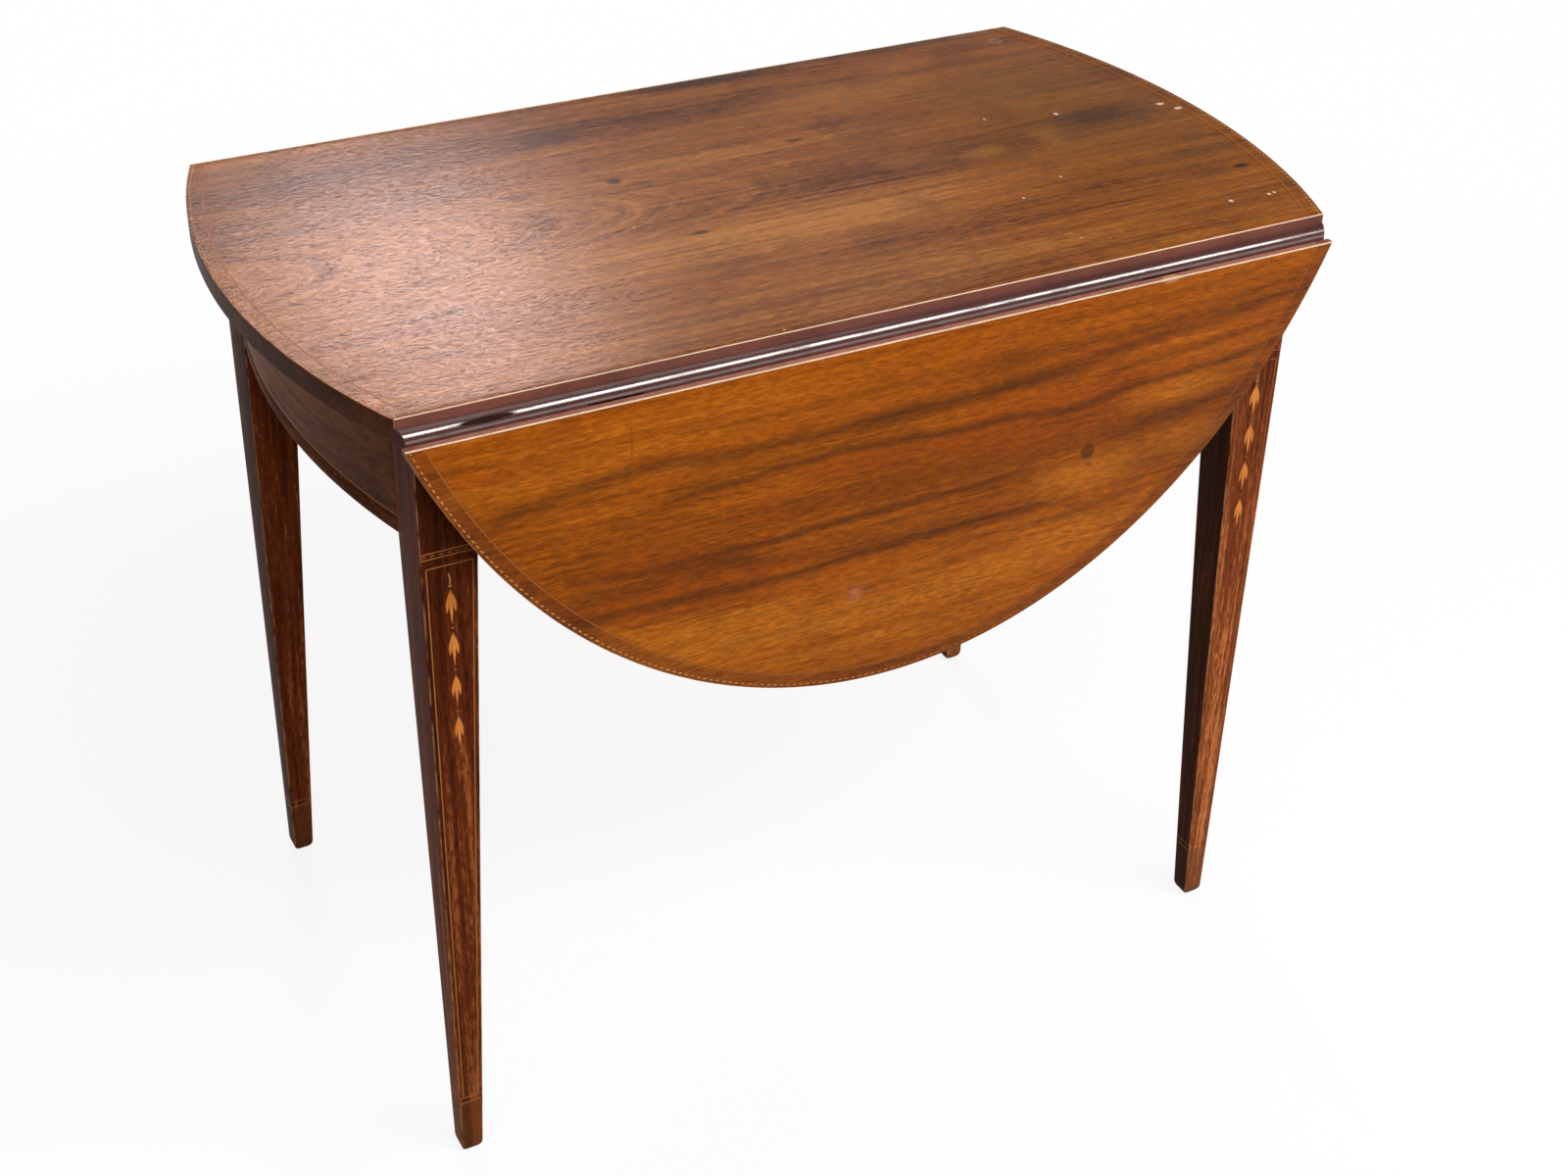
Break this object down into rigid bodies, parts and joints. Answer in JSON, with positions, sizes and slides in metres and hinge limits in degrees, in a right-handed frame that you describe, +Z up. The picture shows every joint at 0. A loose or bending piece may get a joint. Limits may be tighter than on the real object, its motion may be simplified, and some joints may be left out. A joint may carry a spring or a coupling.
{
  "type": "pembroke table",
  "caption": "Pembroke table with a bow-ended top, drop leaves on rule joints, tapered legs with husk inlay, fly brackets under the leaves and an end drawer.",
  "frame": {"origin": "on the floor under the middle of the top", "axes": "+X along the rule joints towards the drawer end, -Y the front leaf's side, +Z up"},
  "size_m": [0.882, 0.514, 0.711],
  "materials": {
    "top_mahogany": "worn french polish, reddish brown",
    "leaf_mahogany": "french polish, golden brown with dark ribbon figure",
    "leg_mahogany": "french polish, red brown",
    "rail_mahogany": "french polish, dark brown",
    "boxwood_inlay": "polished flush with the wood round it",
    "fly_beech": "bare, darkened",
    "carcase_pine": "bare, aged",
    "drawer_oak": "bare, aged",
    "hinge_iron": "dark, dry",
    "screw_iron": "dark, dry",
    "knob_brass": "aged polish"
  },
  "bodies": {
    "root": {"drawer_kicker_back": "carcase_pine", "drawer_kicker_front": "carcase_pine", "drawer_rail_lower": "rail_mahogany", "drawer_rail_upper": "rail_mahogany", "drawer_runner_back": "carcase_pine", "drawer_runner_front": "carcase_pine", "end_rail_left": "rail_mahogany", "end_rail_stringing": "boxwood_inlay", "fly_pins_back": "screw_iron", "fly_pins_front": "screw_iron", "fly_rail_back": "fly_beech", "fly_rail_front": "fly_beech", "fly_rail_screws": "screw_iron", "glue_blocks": "carcase_pine", "hinge_back_left_pin": "hinge_iron", "hinge_back_left_top_flap": "hinge_iron", "hinge_back_right_pin": "hinge_iron", "hinge_back_right_top_flap": "hinge_iron", "hinge_front_left_pin": "hinge_iron", "hinge_front_left_top_flap": "hinge_iron", "hinge_front_right_pin": "hinge_iron", "hinge_front_right_top_flap": "hinge_iron", "hinge_screws_back_top": "screw_iron", "hinge_screws_front_top": "screw_iron", "leg_back_left": "leg_mahogany", "leg_back_right": "leg_mahogany", "leg_front_left": "leg_mahogany", "leg_front_right": "leg_mahogany", "leg_inlay_back_left": "boxwood_inlay", "leg_inlay_back_right": "boxwood_inlay", "leg_inlay_front_left": "boxwood_inlay", "leg_inlay_front_right": "boxwood_inlay", "side_rail_back": "carcase_pine", "side_rail_front": "carcase_pine", "top_board": "top_mahogany", "top_screws": "screw_iron", "top_stringing": "boxwood_inlay"},
    "drawer": {"drawer_back": "drawer_oak", "drawer_bottom": "drawer_oak", "drawer_front": "rail_mahogany", "drawer_knob": "knob_brass", "drawer_knob_nut": "knob_brass", "drawer_side_back": "drawer_oak", "drawer_side_front": "drawer_oak"},
    "fly_back_left": {"fly_bracket_back_left": "fly_beech"},
    "fly_back_right": {"fly_bracket_back_right": "fly_beech"},
    "fly_front_left": {"fly_bracket_front_left": "fly_beech"},
    "fly_front_right": {"fly_bracket_front_right": "fly_beech"},
    "leaf_back": {"hinge_back_left_leaf_flap": "hinge_iron", "hinge_back_right_leaf_flap": "hinge_iron", "hinge_screws_back_leaf": "screw_iron", "leaf_back": "leaf_mahogany", "leaf_back_stringing": "boxwood_inlay"},
    "leaf_front": {"hinge_front_left_leaf_flap": "hinge_iron", "hinge_front_right_leaf_flap": "hinge_iron", "hinge_screws_front_leaf": "screw_iron", "leaf_front": "leaf_mahogany", "leaf_front_stringing": "boxwood_inlay"}
  },
  "joints": [
    {"name": "leaf_front_hinge", "type": "hinge", "parent": "root", "child": "leaf_front", "pos_m": [0, -0.2405, 0.6945], "axis": [-1, 0, 0], "range_deg": [0, 90]},
    {"name": "leaf_back_hinge", "type": "hinge", "parent": "root", "child": "leaf_back", "pos_m": [0, 0.2405, 0.6945], "axis": [1, 0, 0], "range_deg": [0, 90]},
    {"name": "drawer_slide", "type": "slide", "parent": "root", "child": "drawer", "axis": [1, 0, 0], "range_m": [0, 0.3]},
    {"name": "fly_front_left_swing", "type": "hinge", "parent": "root", "child": "fly_front_left", "pos_m": [-0.11, -0.218, 0.654], "axis": [0, 0, 1], "range_deg": [0, 2]},
    {"name": "fly_front_right_swing", "type": "hinge", "parent": "root", "child": "fly_front_right", "pos_m": [0.11, -0.218, 0.654], "axis": [0, 0, -1], "range_deg": [0, 2]},
    {"name": "fly_back_left_swing", "type": "hinge", "parent": "root", "child": "fly_back_left", "pos_m": [-0.11, 0.218, 0.654], "axis": [0, 0, -1], "range_deg": [0, 2]},
    {"name": "fly_back_right_swing", "type": "hinge", "parent": "root", "child": "fly_back_right", "pos_m": [0.11, 0.218, 0.654], "axis": [0, 0, 1], "range_deg": [0, 2]}
  ]
}
